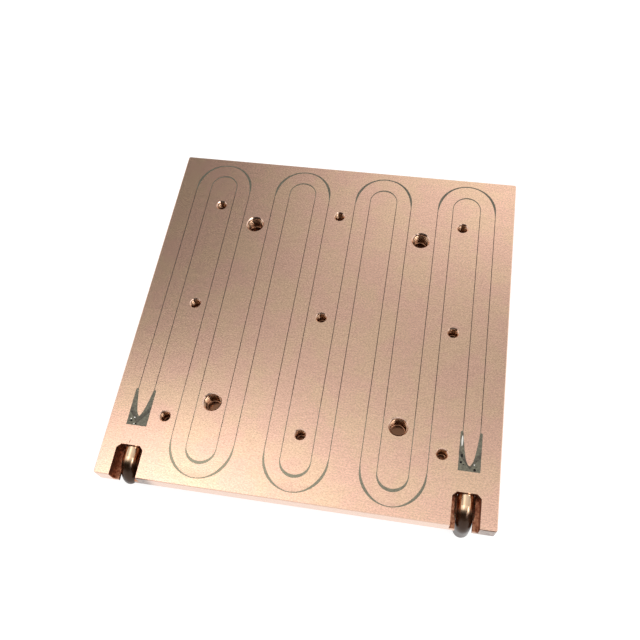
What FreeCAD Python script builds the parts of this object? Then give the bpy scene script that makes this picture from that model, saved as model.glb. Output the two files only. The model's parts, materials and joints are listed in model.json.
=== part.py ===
# Liquid cooling cold plate: a copper base plate whose face carries one copper
# coolant tube.  The tube lies in a serpentine groove, is pressed flush with the
# face and cut flat with it, and a grey conductive filler bonds it all along.  At
# the two ends the tube dives through a filled pocket and under a bridge of solid
# plate, shows again in an edge notch, and turns down behind the plate.
#
# Frame (mm): origin at the centre of the device face, X along the inlet edge,
# Y away from that edge, Z out of the device face.  All copper lies below Z = 0.
import FreeCAD, Part
import math
import os

V = FreeCAD.Vector
X_AXIS, Y_AXIS, Z_AXIS = V(1, 0, 0), V(0, 1, 0), V(0, 0, 1)

# --- driving dimensions ----------------------------------------------------
# base plate
plate_height = 200.0          # along the tube's runs
plate_thickness = 10.0
plate_corner_radius = 1.2
plate_edge_break = 0.4        # chamfer round both faces of the plate
side_margin = 15.0            # axis of an outer run to the plate's side

# coolant tube as drawn, before it is pressed
tube_diameter = 8.0
tube_wall = 1.0
run_count = 8                 # straight runs, an even number
bend_radius = 12.0            # centre line of the turns between runs

# coolant tube as pressed into the groove
pressed_width = 8.2
pressed_depth = 6.55
cut_wall = 0.8                # what the facing cut leaves of the tube's top wall

# groove and filler
bond_gap = 0.35               # filler between tube and groove
# The tube was bent before it was pressed, so in a turn it is narrower than the
# groove: it leaves the outside wall just before the turn, hugs the inside wall at
# the shoulders and nears the outside wall again at the crown.  Each entry is
# (degrees into the turn, extra filler on the inside, on the outside); negative
# degrees are the same length of run before the turn, and the second half of a
# turn mirrors the first.
far_turn = [
    (-20, 0, 0), (-9, 0, 0.15), (0, 0, 0.45), (12, 0.05, 0.85), (26, 0.1, 1.0), (42, 0.2, 0.85),
    (58, 0.35, 0.6), (74, 0.45, 0.42), (90, 0.5, 0.38),
]
near_turn = [
    (-20, 0, 0), (-9, 0, 0.15), (0, 0.05, 0.4), (12, 0.15, 0.75), (26, 0.45, 1.0), (42, 0.8, 1.0),
    (58, 1.05, 0.65), (74, 1.2, 0.25), (90, 1.3, 0.1),
]
turn_clearance = 0.2          # a side with no extra filler is cut this far outside the tube
groove_to_edge = 4.25         # outside of a turn's groove to the plate's edge

# end pockets, where the tube leaves the face
pocket_width = 10.8
pocket_length = 20.1
pocket_depth = 8.6
pocket_shoulder = 1.2         # radius of the two shoulders beside the groove
bridge_length = 10.3          # solid plate between pocket and notch
flat_tip_left = 5.3           # end of the tube's flat, before the bridge
flat_tip_right = 2.8
flat_tip_width = 0.5
flat_taper_left = 0.62        # below 1 the flat's sides bulge outward
flat_taper_right = 0.5
dive_stations = 7

# air bubbles that the facing cut opened in the pockets' filler:
# (across from the tube's axis, along from the bridge, radius at the face, depth)
bubbles_left = [(-3.2, 2.2, 0.55, 0.8), (-0.5, 0.85, 0.42, 0.7), (-4.1, 6.9, 0.25, 0.3)]
bubbles_right = [
    (-3.9, 7.8, 0.5, 0.9), (-3.9, 7.0, 0.5, 0.8), (-4.2, 4.1, 0.6, 0.6), (-2.9, 3.1, 0.35, 0.3),
    (2.6, 1.1, 0.65, 0.9),
]

# edge notches and the slot milled from the back
notch_width = 13.9
notch_length = 16.4
notch_depth = 8.0
notch_corner = 2.1            # 45 degree corners at the notch's inner end
slot_width = 8.2              # a close fit on the tube
slot_roof = 1.0               # least thickness of the bridge over the slot

# tube ends
end_drop = 1.75               # crest of the tube below the face in the notch
end_straight = 5.7            # from the bridge to the start of the elbow
elbow_radius = 7.0
tail_reach_left = 13.5        # depth of each open end below the face
tail_reach_right = 22.5

# tapped holes from the device face, modelled at their mid-thread radius
device_hole_radius = 2.65     # M6
device_hole_mouth = 3.1
device_hole_depth = 8.0
device_pitch_x = 70.6
device_pitch_y = 66.3
fixing_hole_radius = 4.5      # M10
fixing_hole_mouth = 5.1
fixing_hole_depth = 8.0
fixing_spacing_x = 96.0
fixing_spacing_y = 110.8

# --- worked out from them --------------------------------------------------
tube_radius = tube_diameter / 2
run_pitch = 2 * bend_radius
plate_width = (run_count - 1) * run_pitch + 2 * side_margin
half_height = plate_height / 2
run_x = [(i - (run_count - 1) / 2) * run_pitch for i in range(run_count)]
run_in = bend_radius * math.radians(-far_turn[0][0])     # where runs give way to turns

groove_width = pressed_width + 2 * bond_gap
turn_y = half_height - groove_to_edge - bend_radius - groove_width / 2
belly_z = pressed_width / 2 - pressed_depth      # centre of the round bottom of tube and groove

bridge_near_y = -half_height + notch_length
pocket_near_y = bridge_near_y + bridge_length
pocket_far_y = pocket_near_y + pocket_length
slot_axis_z = -slot_roof - slot_width / 2
end_axis_z = -end_drop - tube_radius
elbow_start_y = bridge_near_y - end_straight
tail_y = elbow_start_y - elbow_radius
above = 1.0                   # how far cutters stand out of the plate


# --- small helpers -----------------------------------------------------------
def box(x0, x1, y0, y1, z0, z1):
    return Part.makeBox(x1 - x0, y1 - y0, z1 - z0, V(x0, y0, z0))


def joined(solids):
    first, rest = solids[0], solids[1:]
    return first.fuse(rest).removeSplitter() if rest else first


def only_solid(shape):
    assert len(shape.Solids) == 1, len(shape.Solids)
    return shape.Solids[0]


def line(a, b):
    return Part.LineSegment(a, b).toShape()


def arc(a, b, c):
    return Part.Arc(a, b, c).toShape()


# --- tube sections -----------------------------------------------------------
# Every section has four edges in the same order (top, one side, bottom, other
# side), so any two can be lofted.  place(across, up) puts a point of it in space.
def pressed_section(place, half, inset):
    """U-shaped section of the pressed tube, flat on top."""
    top = -cut_wall if inset else 0.0
    half -= inset
    corners = [place(-half, top), place(half, top), place(half, belly_z), place(-half, belly_z)]
    bottom = place(0, belly_z - half)
    return Part.Wire([
        line(corners[0], corners[1]),
        line(corners[1], corners[2]),
        arc(corners[2], bottom, corners[3]),
        line(corners[3], corners[0]),
    ])


def dome_section(place, flat, axis_z, radius, inset):
    """Section on the way from pressed to round: a flat top of the given width
    on a round belly whose centre is at axis_z."""
    half = flat / 2
    top_z = axis_z + radius
    if inset:
        top_z = axis_z + radius - inset
        half *= (radius - inset) / radius
        radius -= inset
    corners = [place(-half, top_z), place(half, top_z), place(radius, axis_z), place(-radius, axis_z)]
    sides = []
    for start, end, side in ((corners[1], corners[2], 1), (corners[3], corners[0], -1)):
        # the shoulder is a circle's quarter cut short by the flat
        knee_x = half + (radius - half) * math.sin(math.pi / 4)
        knee_z = axis_z + (top_z - axis_z) * math.cos(math.pi / 4)
        sides.append(arc_through(start, place(side * knee_x, knee_z), end))
    return Part.Wire([
        line(corners[0], corners[1]),
        sides[0],
        arc(corners[2], place(0, axis_z - radius), corners[3]),
        sides[1],
    ])


def arc_through(a, b, c):
    """Arc by three points, or the straight edge when they lie in line."""
    if (b - a).cross(c - a).Length < 1e-6:
        return line(a, c)
    return arc(a, b, c)


def loft(wires):
    return Part.makeLoft(wires, True, False)


# --- tube pieces -------------------------------------------------------------
def straight_run(x, y0, y1, inset):
    wire = pressed_section(lambda u, w: V(x + u, y0, w), pressed_width / 2, inset)
    return Part.Face(wire).extrude(V(0, y1 - y0, 0))


def turn_edge(centre, side, stations):
    """Smooth curve round a turn through (degrees, radius) stations, square to both runs."""
    points = []
    for degrees, radius in stations:
        angle = math.radians(min(max(degrees, 0), 180))
        before = bend_radius * math.radians(max(-degrees, degrees - 180, 0))
        points.append(centre + V(-radius * math.cos(angle), side * (radius * math.sin(angle) - before), 0))
    curve = Part.BSplineCurve()
    curve.interpolate(Points=points, InitialTangent=Y_AXIS * side, FinalTangent=-Y_AXIS * side)
    return curve.toShape(), points[0], points[-1]


def turn(x, side, form, inset):
    """Half turn between two runs, at the far (+1) or near (-1) end: the section
    of a run swept round, with its sides cut in to where the tube runs."""
    centre = V(x, side * turn_y, -plate_thickness)
    half_turn = [(degrees, inside or -turn_clearance, outside or -turn_clearance) for degrees, inside, outside in form]
    mirrored = half_turn + [(180 - degrees, inside, outside) for degrees, inside, outside in half_turn[-2::-1]]
    inner_radius = bend_radius - pressed_width / 2 + inset
    outer_radius = bend_radius + pressed_width / 2 - inset
    inner, a, b = turn_edge(centre, side, [(d, inner_radius + inside) for d, inside, outside in mirrored])
    outer, c, d = turn_edge(centre, side, [(d, outer_radius - outside) for d, inside, outside in mirrored])
    back = -Y_AXIS * side * above           # the outline starts a little way inside the runs
    outline = Part.Wire([
        line(c + back, c), outer, line(d, d + back), line(d + back, b + back),
        line(b + back, b), inner, line(a, a + back), line(a + back, c + back),
    ])
    sides = Part.Face(outline).extrude(V(0, 0, plate_thickness + above))
    start, end = [
        Part.Face(pressed_section(lambda u, w: V(x + across + u, side * turn_y, w), pressed_width / 2, inset))
        for across in (bend_radius, -bend_radius)
    ]
    round_part = start.revolve(V(x, side * turn_y, 0), Z_AXIS * side, 180)
    lead = -Y_AXIS * side * (run_in + above)
    return joined([round_part, start.extrude(lead), end.extrude(lead)]).common(sides)


def pocket_taper(x, tip_y, flat_taper, inset):
    """The pressed section rounds out again and its flat narrows to a tip."""
    stations = 6
    full = pressed_width / 2
    wires = [pressed_section(lambda u, w: V(x + u, pocket_far_y, w), full, inset)]
    for i in range(1, stations + 1):
        part = i / stations
        y = pocket_far_y + (tip_y - pocket_far_y) * part
        flat = flat_tip_width + (pressed_width - flat_tip_width) * (1 - part) ** flat_taper
        wires.append(tapered_section(x, y, flat, part, inset))
    return loft(wires)


def tapered_section(x, y, flat, part, inset):
    """Part 0 is the pressed section, part 1 the drawn tube with its crest at Z = 0."""
    half = pressed_width / 2 + (tube_radius - pressed_width / 2) * part
    axis_z = belly_z + (-tube_radius - belly_z) * part
    top = -(cut_wall + (tube_wall - cut_wall) * part) if inset else 0.0
    flat_half = (flat / 2) * (half - inset) / half
    half -= inset
    # the shoulder bows out from a straight side (part 0) to a quarter circle (part 1)
    bow = math.sin(math.pi / 4)
    knee_x = flat_half + (half - flat_half) * bow
    knee_z = axis_z + (top - axis_z) * bow
    place = lambda u, w: V(x + u, y, w)
    corners = [place(-flat_half, top), place(flat_half, top), place(half, axis_z), place(-half, axis_z)]
    return Part.Wire([
        line(corners[0], corners[1]),
        arc_through(corners[1], place(knee_x, knee_z), corners[2]),
        arc(corners[2], place(0, axis_z - half), corners[3]),
        arc_through(corners[3], place(-knee_x, knee_z), corners[0]),
    ])


def dive(x, tip_y, inset):
    """Round tube from the tip of its flat down to its depth in the notch."""
    reach = 1.5 * (tip_y - pocket_near_y)
    wires = []
    for i in range(dive_stations + 1):
        part = i / dive_stations
        fall = part * part * (3 - 2 * part)
        axis_z = -tube_radius + (end_axis_z + tube_radius) * fall
        place = lambda u, w, y=tip_y - reach * part: V(x + u, y, w)
        wires.append(dome_section(place, flat_tip_width, axis_z, tube_radius, inset))
    return loft(wires), tip_y - reach


def tube_end(x, tip_y, flat_taper, tail_reach, inset):
    """Taper, dive, straight under the bridge, elbow and tail of one tube end."""
    over = above if inset else 0.0
    radius = tube_radius - inset
    sunk, y = dive(x, tip_y, inset)
    axis_start = V(x, y, end_axis_z)
    under_bridge = Part.makeCylinder(radius, y - elbow_start_y, axis_start, -Y_AXIS)
    disc = Part.Face(Part.Wire(Part.makeCircle(radius, V(x, elbow_start_y, end_axis_z), Y_AXIS)))
    elbow_centre = V(x, elbow_start_y, end_axis_z - elbow_radius)
    elbow = disc.revolve(elbow_centre, X_AXIS, 90)
    tail_top = V(x, tail_y, end_axis_z - elbow_radius)
    tail_length = tail_reach + tail_top.z + over
    tail = Part.makeCylinder(radius, tail_length, tail_top, -Z_AXIS)
    return [pocket_taper(x, tip_y, flat_taper, inset), sunk, under_bridge, elbow, tail]


tip_left_y = pocket_near_y + flat_tip_left
tip_right_y = pocket_near_y + flat_tip_right


def tube_body(inset):
    """The whole tube as one filled body; inset 0 is its outside, the wall its bore."""
    pieces = []
    for i, x in enumerate(run_x):
        outer_run = i in (0, run_count - 1)
        pieces.append(straight_run(x, pocket_far_y if outer_run else run_in - turn_y, turn_y - run_in, inset))
    for i in range(run_count - 1):
        side = 1 if i % 2 == 0 else -1
        form = far_turn if side > 0 else near_turn
        pieces.append(turn((run_x[i] + run_x[i + 1]) / 2, side, form, inset))
    pieces += tube_end(run_x[0], tip_left_y, flat_taper_left, tail_reach_left, inset)
    pieces += tube_end(run_x[-1], tip_right_y, flat_taper_right, tail_reach_right, inset)
    return only_solid(joined(pieces))


# --- groove, pockets, notches and holes ---------------------------------------
def groove_profile(place, top):
    half = groove_width / 2
    corners = [place(-half, top), place(half, top), place(half, belly_z), place(-half, belly_z)]
    return Part.Face(Part.Wire([
        line(corners[0], corners[1]),
        line(corners[1], corners[2]),
        arc(corners[2], place(0, belly_z - half), corners[3]),
        line(corners[3], corners[0]),
    ]))


def groove_space(top):
    """Everything milled for the tube from the device face, up to the height top."""
    spaces = []
    for i, x in enumerate(run_x):
        outer_run = i in (0, run_count - 1)
        y0 = pocket_far_y if outer_run else -turn_y
        profile = groove_profile(lambda u, w: V(x + u, y0, w), top)
        spaces.append(profile.extrude(V(0, turn_y - y0, 0)))
    for i in range(run_count - 1):
        side = 1 if i % 2 == 0 else -1
        centre = V((run_x[i] + run_x[i + 1]) / 2, side * turn_y, 0)
        profile = groove_profile(lambda u, w: centre + V(bend_radius + u, 0, w), top)
        spaces.append(profile.revolve(centre, Z_AXIS * side, 180))
    for x in (run_x[0], run_x[-1]):
        half = pocket_width / 2
        pocket = box(x - half, x + half, pocket_near_y, pocket_far_y, -pocket_depth, top)
        shoulders = [e for e in pocket.Edges if abs(e.BoundBox.ZLength - pocket_depth - top) < 1e-6
                     and e.BoundBox.YMin > pocket_far_y - 1e-6]
        spaces.append(pocket.makeFillet(min(pocket_shoulder, (pocket_width - groove_width) / 2), shoulders))
    return joined(spaces)


def back_slot(x, y_edge):
    """Ball-nosed slot from the back, from the plate's edge to under the pocket."""
    half = slot_width / 2
    axis_end = V(x, pocket_near_y, slot_axis_z)
    floor_z = -plate_thickness - above
    return joined([
        Part.makeCylinder(half, pocket_near_y - y_edge, V(x, y_edge, slot_axis_z), Y_AXIS),
        Part.makeSphere(half, axis_end),
        box(x - half, x + half, y_edge, pocket_near_y, floor_z, slot_axis_z),
        Part.makeCylinder(half, slot_axis_z - floor_z, V(x, pocket_near_y, floor_z), Z_AXIS),
    ])


def notch(x):
    half, inner = notch_width / 2, bridge_near_y
    edge = -half_height - above
    outline = [
        (x - half, edge), (x + half, edge),
        (x + half, inner - notch_corner), (x + half - notch_corner, inner),
        (x - half + notch_corner, inner), (x - half, inner - notch_corner),
    ]
    wire = Part.makePolygon([V(px, py, -notch_depth) for px, py in outline + outline[:1]])
    return Part.Face(wire).extrude(V(0, 0, notch_depth + above))


def blind_hole(x, y, radius, mouth, depth):
    chamfer = mouth - radius
    return joined([
        Part.makeCylinder(radius, depth + above, V(x, y, -depth)),
        Part.makeCone(radius, mouth + above, chamfer + above, V(x, y, -chamfer)),
    ])


device_holes = [(i * device_pitch_x, j * device_pitch_y) for i in (-1, 0, 1) for j in (-1, 0, 1)]
fixing_holes = [(i * fixing_spacing_x / 2, j * fixing_spacing_y / 2) for i in (-1, 1) for j in (-1, 1)]


# --- the three pieces ----------------------------------------------------------
def base_plate():
    half_x = plate_width / 2
    plate = box(-half_x, half_x, -half_height, half_height, -plate_thickness, 0)
    corners = [e for e in plate.Edges if e.BoundBox.ZLength > plate_thickness / 2]
    plate = plate.makeFillet(plate_corner_radius, corners)
    rims = [e for e in plate.Edges if e.BoundBox.ZLength < 1e-6]
    plate = plate.makeChamfer(plate_edge_break, rims)
    cutters = [groove_space(above)]
    for x in (run_x[0], run_x[-1]):
        cutters += [notch(x), back_slot(x, -half_height - above)]
    for x, y in device_holes:
        cutters.append(blind_hole(x, y, device_hole_radius, device_hole_mouth, device_hole_depth))
    for x, y in fixing_holes:
        cutters.append(blind_hole(x, y, fixing_hole_radius, fixing_hole_mouth, fixing_hole_depth))
    return only_solid(plate.cut(cutters))


def coolant_tube():
    return only_solid(tube_body(0.0).cut(tube_body(tube_wall)))


def bubble(x, y, radius, depth):
    """Shallow bowl that opens in the face."""
    ball = (radius * radius + depth * depth) / (2 * depth)
    return Part.makeSphere(ball, V(x, y, ball - depth))


def tube_filler():
    """Fills the groove and both pockets round the tube, level with the face, apart
    from the bubbles."""
    slots = []
    for x in (run_x[0], run_x[-1]):
        level = box(x - slot_width, x + slot_width, pocket_near_y, pocket_far_y, -plate_thickness, 0)
        slots.append(back_slot(x, -half_height).common(level))
    bubbles = [
        bubble(x + across, pocket_near_y + along, radius, depth)
        for x, found in ((run_x[0], bubbles_left), (run_x[-1], bubbles_right))
        for across, along, radius, depth in found
    ]
    return only_solid(joined([groove_space(0.0)] + slots).cut([tube_body(0.0)] + bubbles))


os.makedirs("parts", exist_ok=True)
nodes = {
    "base_plate": base_plate,
    "coolant_tube": coolant_tube,
    "tube_filler": tube_filler,
}
for name, make in nodes.items():
    solid = make()
    assert solid.isValid(), name
    solid.exportStep(f"parts/{name}.step")
    size = solid.BoundBox
    print(f"{name}: {solid.Volume / 1000:.2f} cm3, {len(solid.Faces)} faces, "
          f"{size.XLength:.1f} x {size.YLength:.1f} x {size.ZLength:.1f} mm")
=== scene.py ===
# Liquid cooling cold plate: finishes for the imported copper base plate, the pressed
# coolant tube and the grey filler between them, the cut threads in the plate's
# tapped holes and the filler squeezed out in its notches.  Metres, or millimetres
# times mm; the origin is the centre of the device face, X runs along the inlet
# edge, Y away from it and Z out of the face.
import json

import bpy
import numpy as np
from mathutils import Matrix, Vector


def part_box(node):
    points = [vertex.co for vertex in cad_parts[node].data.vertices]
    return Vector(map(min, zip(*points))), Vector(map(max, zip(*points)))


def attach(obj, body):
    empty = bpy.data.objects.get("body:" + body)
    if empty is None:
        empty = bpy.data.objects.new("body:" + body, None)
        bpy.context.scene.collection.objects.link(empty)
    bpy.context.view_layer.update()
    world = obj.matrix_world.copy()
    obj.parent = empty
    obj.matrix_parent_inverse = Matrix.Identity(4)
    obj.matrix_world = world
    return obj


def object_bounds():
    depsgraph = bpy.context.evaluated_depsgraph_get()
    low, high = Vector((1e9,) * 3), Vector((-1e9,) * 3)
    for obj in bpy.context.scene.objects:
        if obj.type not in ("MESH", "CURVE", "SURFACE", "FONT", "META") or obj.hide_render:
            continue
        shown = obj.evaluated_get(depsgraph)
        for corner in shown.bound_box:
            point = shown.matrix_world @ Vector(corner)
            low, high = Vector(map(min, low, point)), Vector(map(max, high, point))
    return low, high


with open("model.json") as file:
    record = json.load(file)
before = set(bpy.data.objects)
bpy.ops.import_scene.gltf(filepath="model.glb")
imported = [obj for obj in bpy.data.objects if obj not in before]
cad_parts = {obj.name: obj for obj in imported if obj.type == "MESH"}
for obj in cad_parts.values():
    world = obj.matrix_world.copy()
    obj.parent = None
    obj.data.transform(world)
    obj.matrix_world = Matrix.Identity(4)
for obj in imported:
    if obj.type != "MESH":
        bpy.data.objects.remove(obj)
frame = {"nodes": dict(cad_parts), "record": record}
cad_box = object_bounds()
scene = bpy.context.scene
mm = 0.001
mounts = {m["name"]: m for m in frame["record"]["mounts"]}

# --- camera --------------------------------------------------------------------
# It looks down on the device face from beyond the inlet edge, turned a little
# clockwise.
eye = Vector((51.68, -176.39, 351.36)) * mm
forward = Vector((-0.1316, 0.4415, -0.8876)).normalized()
across = forward.cross(Vector((-0.1140, 0.8827, 0.4559))).normalized()
upward = across.cross(forward)
camera = bpy.data.objects.new("camera", bpy.data.cameras.new("camera"))
camera.data.sensor_width = 36.0
camera.data.lens = 41.34
camera.data.clip_start = 0.01
camera.matrix_world = Matrix.Translation(eye) @ Matrix((across, upward, -forward)).transposed().to_4x4()
scene.collection.objects.link(camera)
scene.camera = camera
scene.view_settings.view_transform = "Standard"


# --- small helpers ---------------------------------------------------------------
def linear(text):
    """sRGB hex colour as linear RGBA."""
    parts = [int(text[i:i + 2], 16) / 255 for i in (0, 2, 4)]
    return tuple(c / 12.92 if c <= 0.04045 else ((c + 0.055) / 1.055) ** 2.4 for c in parts) + (1.0,)


def add(tree, kind, inputs=None, **settings):
    """Adds one node with its settings; inputs maps a socket's name or number to a
    value or to the output that feeds it."""
    node = tree.nodes.new(kind)
    for name, value in settings.items():
        setattr(node, name, value)
    for key, value in (inputs or {}).items():
        if isinstance(value, bpy.types.NodeSocket):
            tree.links.new(value, node.inputs[key])
        else:
            node.inputs[key].default_value = value
    return node


def new_material(name):
    """Empty node material, its tree and its object coordinates in millimetres."""
    material = bpy.data.materials.new(name)
    material.use_nodes = True
    tree = material.node_tree
    tree.nodes.clear()
    place = add(tree, "ShaderNodeTexCoord").outputs["Object"]
    place = add(tree, "ShaderNodeMapping", {"Vector": place, "Scale": (1 / mm,) * 3}).outputs[0]
    return material, tree, place


def mesh_object(name, points, quads, triangles, material):
    """Smooth-shaded mesh piece from whole arrays of points, quads and triangles."""
    mesh = bpy.data.meshes.new(name)
    mesh.from_pydata(points.tolist(), [], quads.tolist() + triangles.tolist())
    mesh.polygons.foreach_set("use_smooth", np.ones(len(mesh.polygons), bool))
    mesh.materials.append(material)
    mesh.update()
    piece = bpy.data.objects.new(name, mesh)
    scene.collection.objects.link(piece)
    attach(piece, "root")
    return piece


# --- patterns that several finishes share ---------------------------------------------
def fade(tree, place, axis, start, end, low, high, centre=None):
    """Smooth step along one axis in millimetres, from low at start to high at end;
    with a centre, start and end are distances from it on either side."""
    value = add(tree, "ShaderNodeSeparateXYZ", {0: place}).outputs[axis]
    if centre is not None:
        value = add(tree, "ShaderNodeMath", {0: value, 1: centre}, operation="SUBTRACT").outputs[0]
        value = add(tree, "ShaderNodeMath", {0: value}, operation="ABSOLUTE").outputs[0]
    return add(tree, "ShaderNodeMapRange", {
        "Value": value, "From Min": start, "From Max": end, "To Min": low, "To Max": high},
        interpolation_type="SMOOTHSTEP").outputs[0]


def above(tree, place, level):
    """1 where the surface is higher than a level in millimetres, else 0."""
    z = add(tree, "ShaderNodeSeparateXYZ", {0: place}).outputs["Z"]
    return add(tree, "ShaderNodeMath", {0: z, 1: level}, operation="GREATER_THAN").outputs[0]


def spot(tree, place, centre, size):
    """1 inside an ellipse of the face, of given centre and half-widths, else 0."""
    away = add(tree, "ShaderNodeVectorMath", {0: place, 1: (*centre, 0.0)}, operation="SUBTRACT")
    away = add(tree, "ShaderNodeVectorMath", {
        0: away.outputs[0], 1: (1 / size[0], 1 / size[1], 1.0)}, operation="MULTIPLY")
    away = add(tree, "ShaderNodeVectorMath", {0: away.outputs[0]}, operation="LENGTH")
    return add(tree, "ShaderNodeMath", {0: away.outputs[1], 1: 1.0}, operation="LESS_THAN").outputs[0]


def stretched_noise(tree, place, waves, turn=0.0, **inputs):
    """Noise with so many waves per millimetre along each axis, turned about Z."""
    mapped = add(tree, "ShaderNodeMapping", {
        "Vector": place, "Scale": waves, "Rotation": (0, 0, turn)}).outputs[0]
    return add(tree, "ShaderNodeTexNoise", {"Vector": mapped, "Scale": 1.0, **inputs}).outputs[0]


def mottle(tree, place, width, detail, roughness, *stops):
    """Noise with patches of a width in millimetres, and the colour that runs with it
    between two stops, each a value of the noise and a hex colour."""
    noise = add(tree, "ShaderNodeTexNoise", {
        "Vector": place, "Scale": 1 / width, "Detail": detail, "Roughness": roughness}).outputs[0]
    ramp = add(tree, "ShaderNodeValToRGB", {0: noise})
    for element, (value, colour) in zip(ramp.color_ramp.elements, stops):
        element.position = value
        element.color = linear(colour)
    return noise, ramp.outputs[0]


def coat(tree, colour, *coats):
    """Colour with coats laid over it in turn, each a mask, 0 where bare and 1 where
    covered, and the coat's own colour."""
    for mask, cover in coats:
        mixed = add(tree, "ShaderNodeMix", {0: mask, 6: colour, 7: cover}, data_type="RGBA")
        colour = mixed.outputs[2]
    return colour


def facing_cut(tree, place):
    """Colour and height of the fly-cut face: bright copper with a broad pink and
    straw mottle, faint wavy swaths 2 mm wide left by the cutter, and a grain of
    scratches 1 mm long, drawn about three times coarser than they are cut."""
    _, tint = mottle(tree, place, 22, 4.0, 0.6, (0.42, "EABFA8"), (0.60, "E9C4A6"))
    swath = stretched_noise(tree, place, (0.16, 0.55, 1.0), turn=0.06, Detail=3.0, Distortion=1.4)
    grain = stretched_noise(tree, place, (1.0, 1.45, 1.0), turn=0.2, Detail=2.0, Roughness=0.75)
    swath_height = 0.25  # as a share of the grain's
    height = add(tree, "ShaderNodeMath", {
        0: swath, 1: swath_height, 2: grain}, operation="MULTIPLY_ADD").outputs[0]
    shade = add(tree, "ShaderNodeMapRange", {
        "Value": height, "From Min": 0.49, "From Max": 0.76, "To Min": 0.85, "To Max": 1.14}).outputs[0]
    colour = add(tree, "ShaderNodeVectorMath", {0: tint, "Scale": shade}, operation="SCALE").outputs[0]
    return colour, height


def finish(tree, colour, metallic, roughness, height, strength, depth):
    """Principled surface with a bump of the given depth in millimetres."""
    bump = add(tree, "ShaderNodeBump", {"Height": height, "Strength": strength, "Distance": depth * mm})
    shader = add(tree, "ShaderNodeBsdfPrincipled", {
        "Base Color": colour, "Metallic": metallic, "Roughness": roughness, "Normal": bump.outputs[0]})
    add(tree, "ShaderNodeOutputMaterial", {0: shader.outputs[0]})


# --- finishes -----------------------------------------------------------------------
face_level, edge_level = -0.03, -0.6   # above these are the faced surface, the broken edges
face_roughness = 0.27                  # satin: blurs what it mirrors
cut_bump = 0.32, 0.035                 # strength and depth in mm of the cutter's marks


def fly_cut_copper(size):
    """C110 copper plate of the given size.  The face is fly-cut: satin, so it blurs
    what it reflects and sparkles faintly.  The sides and every broken edge are
    fresh, smooth cuts, the palest copper.  The near side carries painted shadow to
    the right of each notch: a patchy dark brown band where the tube ends shade it.
    One short scratch lies on the face behind the left notch.  Inside the notches
    and pockets the end-milled copper is rougher and coloured a shade darker and
    redder in a patchy mottle."""
    material, tree, place = new_material("fly_cut_copper")
    top = above(tree, place, face_level)
    broken_edge = above(tree, place, edge_level)
    # fresh: no deeper than these under the outer sides or the back, or a broken edge
    side_skin, back_skin = 0.5, 0.2
    inner = (size[0] / 2 - side_skin, size[1] / 2 - side_skin, size[2] - back_skin)
    half = add(tree, "ShaderNodeVectorMath", {0: place}, operation="ABSOLUTE").outputs[0]
    past = add(tree, "ShaderNodeVectorMath", {0: half, 1: inner}, operation="SUBTRACT").outputs[0]
    past_x, past_y, past_z = add(tree, "ShaderNodeSeparateXYZ", {0: past}).outputs
    side = add(tree, "ShaderNodeMath", {0: past_x, 1: past_y}, operation="MAXIMUM").outputs[0]
    side = add(tree, "ShaderNodeMath", {0: side, 1: past_z}, operation="MAXIMUM").outputs[0]
    outer = add(tree, "ShaderNodeMath", {0: side, 1: 0.0}, operation="GREATER_THAN").outputs[0]
    fresh = add(tree, "ShaderNodeMath", {0: outer, 1: broken_edge}, operation="MAXIMUM").outputs[0]

    # the recessed, end-milled copper is coloured darker and redder in a patchy mottle
    milled_mottle, milled = mottle(tree, place, 1.4, 3.0, 0.6, (0.38, "7A4733"), (0.66, "C08A6B"))
    feed = stretched_noise(tree, place, (0.5, 0.5, 4.0), Detail=2.0)
    # painted shadow: the near side is painted dark brown, patchy, to the right of each notch, where the tube
    # ends shade it
    by_right_notch = fade(tree, place, "X", 86.0, 93.0, 0.0, 0.9)
    by_left_notch = fade(tree, place, "X", 10.0, 3.0, 0.0, 0.95, centre=-77.0)
    on_inlet_side = fade(tree, place, "Y", -99.3, -99.6, 0.0, 1.0)
    patchy = add(tree, "ShaderNodeMapRange", {
        "Value": milled_mottle, "From Min": 0.35, "From Max": 0.6, "To Min": 1.0, "To Max": 0.72}).outputs[0]
    tube_shadow_paint = add(tree, "ShaderNodeMath", {
        0: by_right_notch, 1: by_left_notch}, operation="MAXIMUM").outputs[0]
    for mask in (on_inlet_side, patchy):
        tube_shadow_paint = add(tree, "ShaderNodeMath", {0: tube_shadow_paint, 1: mask}, operation="MULTIPLY").outputs[0]
    pale = coat(tree, linear("DDB196"), (feed, linear("FBDDCB")), (tube_shadow_paint, linear("3C241A")))

    face_colour, face_height = facing_cut(tree, place)
    scratch = spot(tree, place, (-84.9, -81.8), (0.16, 0.9))
    face_colour = coat(tree, face_colour, (scratch, linear("8A6650")))
    colour = coat(tree, milled, (fresh, pale), (top, face_colour))
    milled_roughness, fresh_roughness = 0.38, 0.2
    rough = add(tree, "ShaderNodeMix", {0: fresh, 2: milled_roughness, 3: fresh_roughness}).outputs[0]
    rough = add(tree, "ShaderNodeMix", {0: top, 2: rough, 3: face_roughness}).outputs[0]
    height = add(tree, "ShaderNodeMix", {0: fresh, 2: milled_mottle, 3: feed}).outputs[0]
    height = add(tree, "ShaderNodeMix", {0: top, 2: height, 3: face_height}).outputs[0]
    finish(tree, colour, 1.0, rough, height, *cut_bump)
    return material


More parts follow.
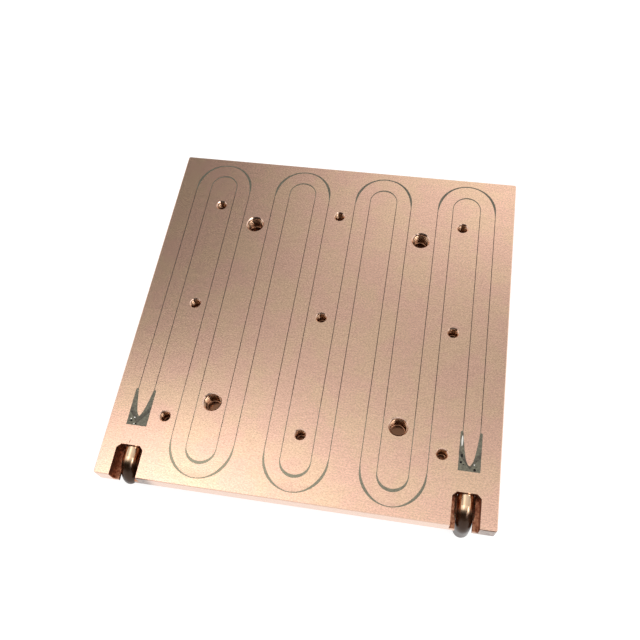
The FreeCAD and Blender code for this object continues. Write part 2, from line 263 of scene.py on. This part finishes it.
def drawn_copper_tube():
    """C122 copper tube.  Its pressed top is faced with the plate and looks like it.
    The round ends keep the drawn skin, mirror-like with faint draw lines.  Towards
    the elbows they are painted dark brown and made duller: painted shade standing
    in for the dark room beyond the camera that the elbows mirror."""
    material, tree, place = new_material("drawn_copper_tube")
    top = above(tree, place, face_level)
    handled = add(tree, "ShaderNodeTexNoise", {"Vector": place, "Scale": 1 / 6, "Detail": 4.0}).outputs[0]
    skin = coat(tree, linear("F6DDBE"), (handled, linear("D9AC84")))
    # painted shade: the elbows and ends are painted dark brown, standing in for the dark room beyond the
    # camera that they mirror
    dark_reflection_paint = coat(tree, linear("4E3422"), (handled, linear("2E1E14")))
    dark_start, brown, dull = -89.0, -93.5, -96.0
    mirrors_dark_room = fade(tree, place, "Y", dark_start, brown, 0.0, 1.0)
    metallic = fade(tree, place, "Y", dark_start, dull, 1.0, 0.5)
    rough = fade(tree, place, "Y", dark_start, dull, 0.16, 0.28)
    draw_lines = stretched_noise(tree, place, (3.0, 0.08, 3.0), Detail=2.0)

    face_colour, face_height = facing_cut(tree, place)
    colour = coat(tree, skin, (mirrors_dark_room, dark_reflection_paint), (top, face_colour))
    rough = add(tree, "ShaderNodeMix", {0: top, 2: rough, 3: face_roughness}).outputs[0]
    height = add(tree, "ShaderNodeMix", {0: top, 2: draw_lines, 3: face_height}).outputs[0]
    finish(tree, colour, metallic, rough, height, *cut_bump)
    return material


def grey_filler():
    """Metal-filled epoxy, spread in the groove and faced off with the plate: a matt
    grey-green paste of 1 mm grains.  It is browner where it lies thin: in the narrow
    joints, a little in the far turns and in a V below the tip of each flat.  In the
    near turns, most on the left, it carries a painted highlight, paler where the
    near-left light washes over it.  The cutter opened bubbles, painted near-black
    inside as painted shade, and left a few bright metal specks; one near-white
    streak is a painted glint."""
    material, tree, place = new_material("grey_filler")
    grains, colour = mottle(tree, place, 1.1, 4.0, 0.6, (0.28, "4A4538"), (0.74, "8A8672"))

    # the joints beside the straight runs, which have their middle at y = 13
    joint = fade(tree, place, "Y", 66.0, 60.0, 0.0, 1.0, centre=13.0)
    far_turns = fade(tree, place, "Y", 76.0, 80.0, 0.0, 0.2)
    joint = add(tree, "ShaderNodeMath", {0: joint, 1: far_turns}, operation="MAXIMUM").outputs[0]
    # painted highlight: the filler is painted paler in the near turns, most on the left, where the near-left
    # light washes over it
    near_turns = fade(tree, place, "Y", -72.0, -80.0, 0.0, 1.0)
    leftwards = fade(tree, place, "X", 70.0, -60.0, 0.12, 0.68)
    near_left_highlight = add(tree, "ShaderNodeMath", {
        0: near_turns, 1: leftwards}, operation="MULTIPLY").outputs[0]

    # the V: y less 1.25 times the distance from a pocket's middle, made ragged by the
    # grains, is dark in a narrow band and half dark for 2 mm behind it
    pocket_x, slope, ragged = 84.2, -1.25, 1.6
    x, y, _ = add(tree, "ShaderNodeSeparateXYZ", {0: place}).outputs
    away = add(tree, "ShaderNodeMath", {0: x}, operation="ABSOLUTE").outputs[0]
    away = add(tree, "ShaderNodeMath", {0: away, 1: pocket_x}, operation="SUBTRACT").outputs[0]
    away = add(tree, "ShaderNodeMath", {0: away}, operation="ABSOLUTE").outputs[0]
    vee = add(tree, "ShaderNodeMath", {0: away, 1: slope, 2: y}, operation="MULTIPLY_ADD").outputs[0]
    vee = add(tree, "ShaderNodeMath", {
        0: grains, 1: ragged, 2: vee}, operation="MULTIPLY_ADD").outputs[0]
    vee = add(tree, "ShaderNodeMapRange", {
        "Value": vee, "From Min": -71.4, "From Max": -67.4}).outputs[0]
    band = add(tree, "ShaderNodeValToRGB", {0: vee})
    for position, darkness in ((0.08, 1.0), (0.17, 0.42), (0.6, 0.5), (0.85, 0.0)):
        band.color_ramp.elements.new(position).color = (darkness,) * 3 + (1.0,)
    band.color_ramp.elements[0].color = band.color_ramp.elements[-1].color = (0, 0, 0, 1)

    colour = coat(tree, colour, (joint, linear("2C1A0E")), (near_left_highlight, linear("C6BE9E")),
                  (band.outputs[0], linear("2E1F17")))
    faced = above(tree, place, -0.05)
    # the specks are real bright metal; the near-white, mirror-like streak is a painted glint
    painted_glint = (79.75, -58.3), (0.42, 2.7)
    specks = (((-85.9, -69.2), 0.34), ((-85.4, -72.6), 0.24),
              ((-87.6, -70.1), 0.26), ((86.3, -69.7), 0.3))
    specks_and_glint = spot(tree, place, *painted_glint)
    for centre, radius in specks:
        speck = spot(tree, place, centre, (radius, radius))
        specks_and_glint = add(tree, "ShaderNodeMath", {0: specks_and_glint, 1: speck}, operation="MAXIMUM").outputs[0]
    specks_and_glint = add(tree, "ShaderNodeMath", {0: specks_and_glint, 1: faced}, operation="MULTIPLY").outputs[0]
    # painted shade: below the faced level, in the bubbles the cutter opened, the filler is painted
    # near-black
    colour = coat(tree, linear("18120E"), (faced, colour), (specks_and_glint, linear("FFFBF2")))
    paste_roughness, metal_roughness = 0.42, 0.3
    rough = add(tree, "ShaderNodeMix", {0: specks_and_glint, 2: paste_roughness, 3: metal_roughness}).outputs[0]
    finish(tree, colour, specks_and_glint, rough, grains, 0.4, 0.08)
    return material


def tapped_copper():
    """Copper cut by a tap: bright, smooth flanks, painted darker towards the floor as painted shade deep in
    the hole.
    """
    material, tree, place = new_material("tapped_copper")
    z = add(tree, "ShaderNodeSeparateXYZ", {0: place}).outputs["Z"]
    # painted shade: the thread is painted darker the deeper it lies
    depth_shade = add(tree, "ShaderNodeMapRange", {"Value": z, "From Min": -1.0, "From Max": -6.0}).outputs[0]
    shader = add(tree, "ShaderNodeBsdfPrincipled", {
        "Base Color": coat(tree, linear("EBC3A2"), (depth_shade, linear("7F5A44"))),
        "Metallic": 1.0, "Roughness": 0.16})
    add(tree, "ShaderNodeOutputMaterial", {0: shader.outputs[0]})
    return material


def smeared_filler():
    """The filler's thin beads on the notch ledges: brown paste full of pale copper
    grains 0.5 mm wide that catch the light."""
    material, tree, place = new_material("smeared_filler")
    grains, colour = mottle(tree, place, 0.5, 3.0, 0.7, (0.42, "3A281D"), (0.62, "B99A7E"))
    finish(tree, colour, 0.35, 0.45, grains, 0.6, 0.1)
    return material


finishes = {
    "base_plate": fly_cut_copper([(b - a) / mm for a, b in zip(*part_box("base_plate"))]),
    "coolant_tube": drawn_copper_tube(),
    "tube_filler": grey_filler(),
}
for node, material in finishes.items():
    for slot in frame["nodes"][node].material_slots:
        slot.material = material


# --- threads in the tapped holes -------------------------------------------------------
def tapped_bores(name, centres, mouth, bore, crest, pitch, material, around, per_turn):
    """Wall and floor of equal tapped holes as one grid for each hole.  A thread's
    wave falls from 1 on its crest to 0 in its root with depth over pitch less angle
    over a full turn, so it winds as a right-hand helix.  The radius is the crest's
    plus 0.541 of the pitch times the wave's fall.  The fall is flat for a quarter of
    the pitch at the crest and an eighth in the root, and the radius never passes the
    plain bore; the crest fades in over the first half pitch.  The last rows run in
    along the floor to one point at its centre.  The faces look into the hole."""
    floor_depth, floor_rows, hub = 7.96, 5, 0.3
    thread_height, crest_flat, root_flat = 0.541, 0.25, 0.125
    rows = int((floor_depth - mouth) / pitch * per_turn) + 1
    angle = np.linspace(0, 2 * np.pi, around, endpoint=False)
    down = np.linspace(mouth, floor_depth, rows)[:, None]
    wave = np.abs(2 * ((down / pitch - angle / (2 * np.pi)) % 1) - 1)
    fall = np.clip((1 - crest_flat - wave) / (1 - crest_flat - root_flat), 0, 1)
    start = np.clip(1 - (down - mouth) / (pitch / 2), 0, 1)
    wall = np.minimum(bore, crest + thread_height * pitch * fall + (bore - crest) * start)
    floor = np.linspace(crest, hub, floor_rows)[1:, None] + 0 * angle
    radius = np.vstack([wall, floor])
    z = -np.vstack([down + 0 * angle, floor_depth + 0 * floor])
    ring = np.stack([radius * np.cos(angle), radius * np.sin(angle), z], -1).reshape(-1, 3)
    hole = np.vstack([ring, [[0, 0, -floor_depth]]])
    i, j = np.meshgrid(np.arange(len(radius) - 1), np.arange(around), indexing="ij")
    here, below, after = i * around, (i + 1) * around, (j + 1) % around
    quads = np.stack([here + j, here + after, below + after, below + j], -1).reshape(-1, 4)
    last = (len(radius) - 1) * around
    j = np.arange(around)
    fan = np.stack([last + j, last + (j + 1) % around, np.full(around, len(ring))], -1)
    shift = np.arange(len(centres))[:, None, None] * len(hole)
    points = (hole[None] + np.array([(x, y, 0) for x, y in centres])[:, None]).reshape(-1, 3)
    return mesh_object(name, points * mm, (quads[None] + shift).reshape(-1, 4),
                       (fan[None] + shift).reshape(-1, 3), material)


# Each wall stands 0.05 mm inside the plate's plain bore, which is narrower than the
# thread's roots, so the roots are cut short and the crests stand in up to 0.1 mm more
# than cut.
wall_gap = 0.05
copper_thread = tapped_copper()
corner, fixing = mounts["device_corner_holes"]["dims"], mounts["fixing_holes"]["dims"]
device_x, device_y = corner["spacing_x_mm"] / 2, corner["spacing_y_mm"] / 2
fixing_x, fixing_y = fixing["spacing_x_mm"] / 2, fixing["spacing_y_mm"] / 2
tapped_bores("device_hole_threads",  # M6 x 1
             [(i * device_x, j * device_y) for i in (-1, 0, 1) for j in (-1, 0, 1)],
             mouth=0.5, bore=corner["hole_r_mm"] - wall_gap, crest=2.4, pitch=1.0,
             material=copper_thread, around=40, per_turn=16)
tapped_bores("fixing_hole_threads",  # M10 x 1.5
             [(i * fixing_x, j * fixing_y) for i in (-1, 1) for j in (-1, 1)],
             mouth=0.65, bore=fixing["hole_r_mm"] - wall_gap, crest=4.1, pitch=1.5,
             material=copper_thread, around=64, per_turn=20)


# --- filler squeezed out beside the tube in the notches ---------------------------------
def notch_bead(name, centre_x, side, material):
    """Thin fillet from a notch's ledge up to the tube: one closed profile of six
    points carried along Y, out on the ledge, up to the tube and back down in the
    slot.  Its rise sinks towards the plate's edge, and its reach and rise waver by a
    sum of three sines, so that it looks pressed out and not moulded."""
    steps, corners = 100, 6
    ledge, slot_half = -8.0, 4.1
    start_y, length = -83.55, 11.0
    mean_rise, mean_reach = 1.35, 0.9
    run = np.linspace(0, 1, steps)
    y = start_y - length * run
    waver = 0.5 * np.sin(3.1 * y + centre_x) + 0.3 * np.sin(7.7 * y + 2 * side) + 0.2 * np.sin(13.0 * y)
    rise = (mean_rise + 0.2 * waver) * np.clip(1.8 - 1.8 * run, 0.02, 1)
    reach = mean_reach + 0.35 * np.roll(waver, 7)
    profile = ((slot_half + reach, -0.05), (slot_half + 0.45 * reach, 0.18 * rise),
               (slot_half + 0.1 * reach, 0.55 * rise), (slot_half - 0.35, rise),
               (slot_half - 0.25, -0.4), (slot_half - 0.02, -0.4))
    level = 0 * y
    rings = [np.stack([centre_x + side * (x + level), y, ledge + z + level], -1) for x, z in profile]
    rings = np.stack(rings, 1)
    i, j = np.meshgrid(np.arange(steps - 1), np.arange(corners), indexing="ij")
    here, ahead, after = i * corners, (i + 1) * corners, (j + 1) % corners
    quads = np.stack([here + j, here + after, ahead + after, ahead + j], -1).reshape(-1, 4)
    cap = np.array([[0, 2, 1], [0, 5, 2], [2, 4, 3], [2, 5, 4]])
    caps = np.vstack([cap, (steps - 1) * corners + cap[:, ::-1]])
    if side < 0:
        quads, caps = quads[:, ::-1], caps[:, ::-1]
    return mesh_object(name, rings.reshape(-1, 3) * mm, quads, caps, material)


smear = smeared_filler()
for notch, centre_x in (("left", -84.0), ("right", 84.0)):
    for hand, side in (("left", -1), ("right", 1)):
        notch_bead(f"{notch}_notch_bead_{hand}", centre_x, side, smear)


# --- floor, light and surroundings -------------------------------------------------------
def sheet(name, x, y, z, material):
    """Flat rectangle between two values of x and of y; z goes with y."""
    points = [(x[0], y[0], z[0]), (x[1], y[0], z[0]), (x[1], y[1], z[1]), (x[0], y[1], z[1])]
    mesh = bpy.data.meshes.new(name)
    mesh.from_pydata(points, [], [(0, 1, 2, 3)])
    mesh.materials.append(material)
    piece = bpy.data.objects.new(name, mesh)
    scene.collection.objects.link(piece)
    return piece


def seen_directly(tree):
    """1 for rays from the camera, from a mirror or through glass."""
    path = add(tree, "ShaderNodeLightPath").outputs
    seen = path["Is Camera Ray"]
    for ray in ("Is Glossy Ray", "Is Transmission Ray"):
        seen = add(tree, "ShaderNodeMath", {0: seen, 1: path[ray]}, operation="MAXIMUM").outputs[0]
    return seen


def white_floor():
    """Matt white board that shows white where nothing shades it."""
    material, tree, _ = new_material("white_floor")
    board = add(tree, "ShaderNodeBsdfDiffuse", {"Color": (0.28, 0.28, 0.28, 1)})
    glow = add(tree, "ShaderNodeEmission", {"Color": (1, 1, 1, 1), "Strength": 0.88})
    both = add(tree, "ShaderNodeAddShader", {0: board.outputs[0], 1: glow.outputs[0]})
    plain = add(tree, "ShaderNodeBsdfDiffuse", {"Color": (0.8, 0.8, 0.8, 1)})
    out = add(tree, "ShaderNodeMixShader", {0: seen_directly(tree), 1: plain.outputs[0], 2: both.outputs[0]})
    add(tree, "ShaderNodeOutputMaterial", {0: out.outputs[0]})
    return material


def diffuser_card():
    """Overhead diffuser: a lamp glows through it above the near left, fading with
    the square of the distance.  Its near edge is bright, most on the left; the rest
    is dim on the left and brightens towards the far right."""
    material, tree, place = new_material("diffuser_card")
    lamp_spot, lamp_power, lamp_reach = (-480.0, 0.0, 1200.0), 3.4e4, 150.0
    away = add(tree, "ShaderNodeVectorMath", {0: place, 1: lamp_spot}, operation="DISTANCE").outputs[1]
    away = add(tree, "ShaderNodeMath", {0: away, 1: lamp_reach}, operation="MAXIMUM").outputs[0]
    fall_off = add(tree, "ShaderNodeMath", {0: away, 1: -2.0}, operation="POWER").outputs[0]
    # each patch of glow is the product of two fades
    middle, far_right, near_edge = [
        add(tree, "ShaderNodeMath", {
            0: fade(tree, place, *one), 1: fade(tree, place, *other)}, operation="MULTIPLY").outputs[0]
        for one, other in (
            (("X", -600.0, -150.0, 0.15, 0.50), ("X", -150.0, 260.0, 1.0, 0.8)),
            (("X", -450.0, 350.0, 0.0, 0.95), ("Y", 650.0, 1000.0, 0.0, 1.0)),
            (("X", -500.0, 100.0, 1.4, 0.65), ("Y", 460.0, 70.0, 0.0, 1.0)))]
    glow = add(tree, "ShaderNodeMath", {0: middle, 1: far_right}).outputs[0]
    glow = add(tree, "ShaderNodeMath", {0: glow, 1: near_edge}).outputs[0]
    glow = add(tree, "ShaderNodeMath", {
        0: fall_off, 1: lamp_power, 2: glow}, operation="MULTIPLY_ADD").outputs[0]
    light = add(tree, "ShaderNodeEmission", {"Color": (1, 1, 1, 1), "Strength": glow})
    add(tree, "ShaderNodeOutputMaterial", {0: light.outputs[0]})
    return material


def black_flag():
    """Black cloth, the dark room beyond the camera that bright metal mirrors.  The
    light that spills on it next to the diffuser is painted as a glow that fades
    over 360 mm."""
    material, tree, place = new_material("black_flag")
    spill = fade(tree, place, "Y", -650.0, -290.0, 0.03, 0.5)
    cloth = add(tree, "ShaderNodeEmission", {"Color": (1, 0.93, 0.85, 1), "Strength": spill})
    add(tree, "ShaderNodeOutputMaterial", {0: cloth.outputs[0]})
    return material


floor_gap = 0.1 * mm
sheet("floor", (-3.0, 3.0), (-3.0, 3.0), (cad_box[0][2] - floor_gap,) * 2, white_floor())
sheet("diffuser", (-1.8, 1.8), (-0.28, 2.0), (1.2, 1.2), diffuser_card())
flag = sheet("flag", (-1.8, 1.8), (-1.0, -0.30), (0.42, 1.2), black_flag())
flag.visible_camera = False

# the softbox makes the glints in the tapped holes
softbox = bpy.data.lights.new("softbox", "AREA")
softbox.shape = "RECTANGLE"
softbox.size, softbox.size_y = 0.7, 0.34
softbox.energy = 3.8
lamp = bpy.data.objects.new("softbox", softbox)
lamp.location = (0.68, -0.38, 0.74)
lamp.rotation_euler = (-lamp.location).to_track_quat("-Z", "Y").to_euler()
scene.collection.objects.link(lamp)

world = bpy.data.worlds.new("world")
scene.world = world
world.use_nodes = True
sky = world.node_tree
sky.nodes.clear()
strength = add(sky, "ShaderNodeMapRange", {"Value": seen_directly(sky), "To Min": 0.8, "To Max": 1.0})
white = add(sky, "ShaderNodeBackground", {"Color": (1, 1, 1, 1), "Strength": strength.outputs[0]})
add(sky, "ShaderNodeOutputWorld", {0: white.outputs[0]})
